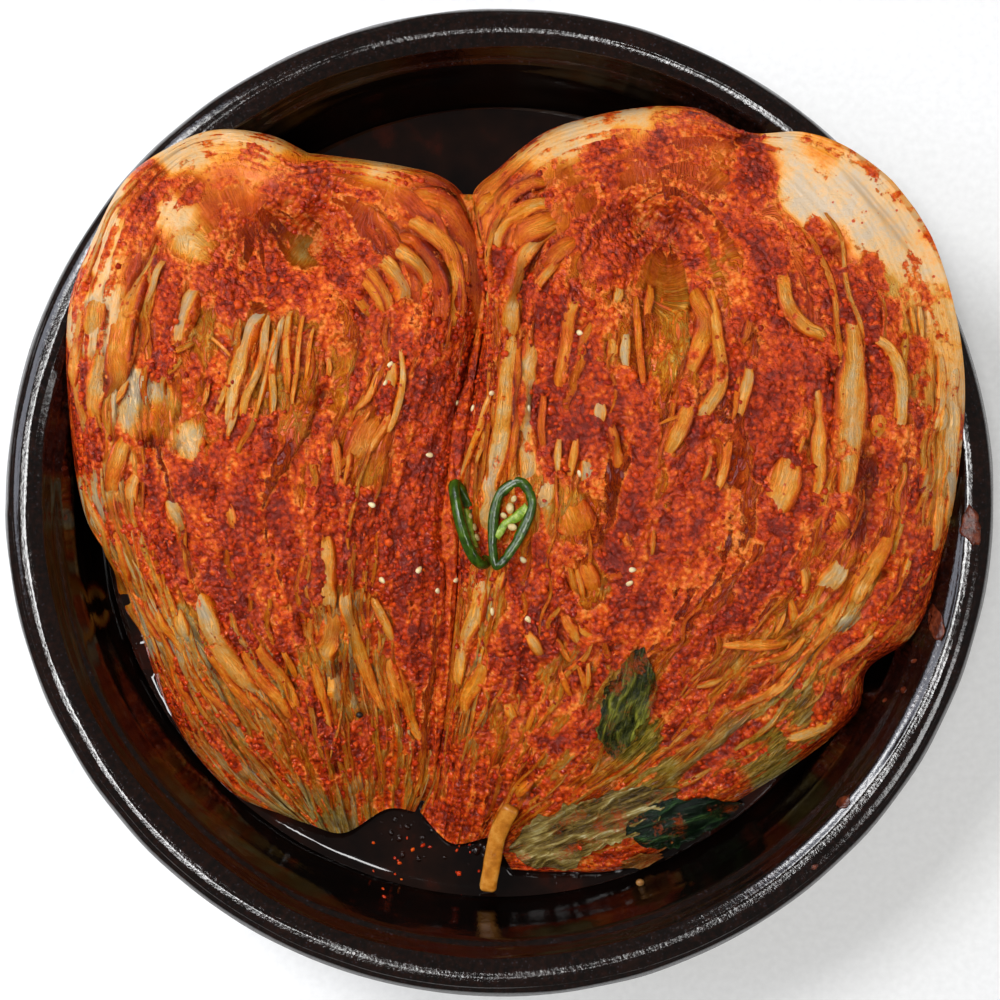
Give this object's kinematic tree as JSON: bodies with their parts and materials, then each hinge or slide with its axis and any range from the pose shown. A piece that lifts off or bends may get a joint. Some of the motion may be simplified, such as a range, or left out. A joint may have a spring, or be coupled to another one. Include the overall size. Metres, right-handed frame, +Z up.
{
  "type": "kimchi",
  "caption": "Seasoned napa cabbage halves with brine, green chilli slices, radish and loose leaves, cut side up in a round glazed earthenware basin.",
  "frame": {"origin": "middle of the basin's flat base, on the surface it stands on", "axes": "+Z up; +Y towards the cabbages' root ends, -Y towards their leaf tips; +X to the right when looking down with +Y away"},
  "size_m": [0.382, 0.382, 0.0999],
  "materials": {
    "glazed_earthenware": "gloss",
    "brine": "wet gloss",
    "seasoned_cabbage": "wet satin",
    "green_chilli": "wet gloss",
    "radish": "wet satin",
    "dark_leaf": "wet satin",
    "olive_leaf": "wet satin",
    "pale_leaf": "wet satin",
    "tan_leaf": "wet satin"
  },
  "bodies": {
    "root": {"basin": "glazed_earthenware", "brine": "brine", "cabbage_half_left": "seasoned_cabbage", "cabbage_half_right": "seasoned_cabbage", "chilli_slice_left": "green_chilli", "chilli_slice_right": "green_chilli", "radish_strip": "radish", "dark_green_leaf": "dark_leaf", "olive_leaf": "olive_leaf", "pale_green_leaf": "pale_leaf", "tan_leaf_scrap": "tan_leaf"}
  },
  "joints": []
}
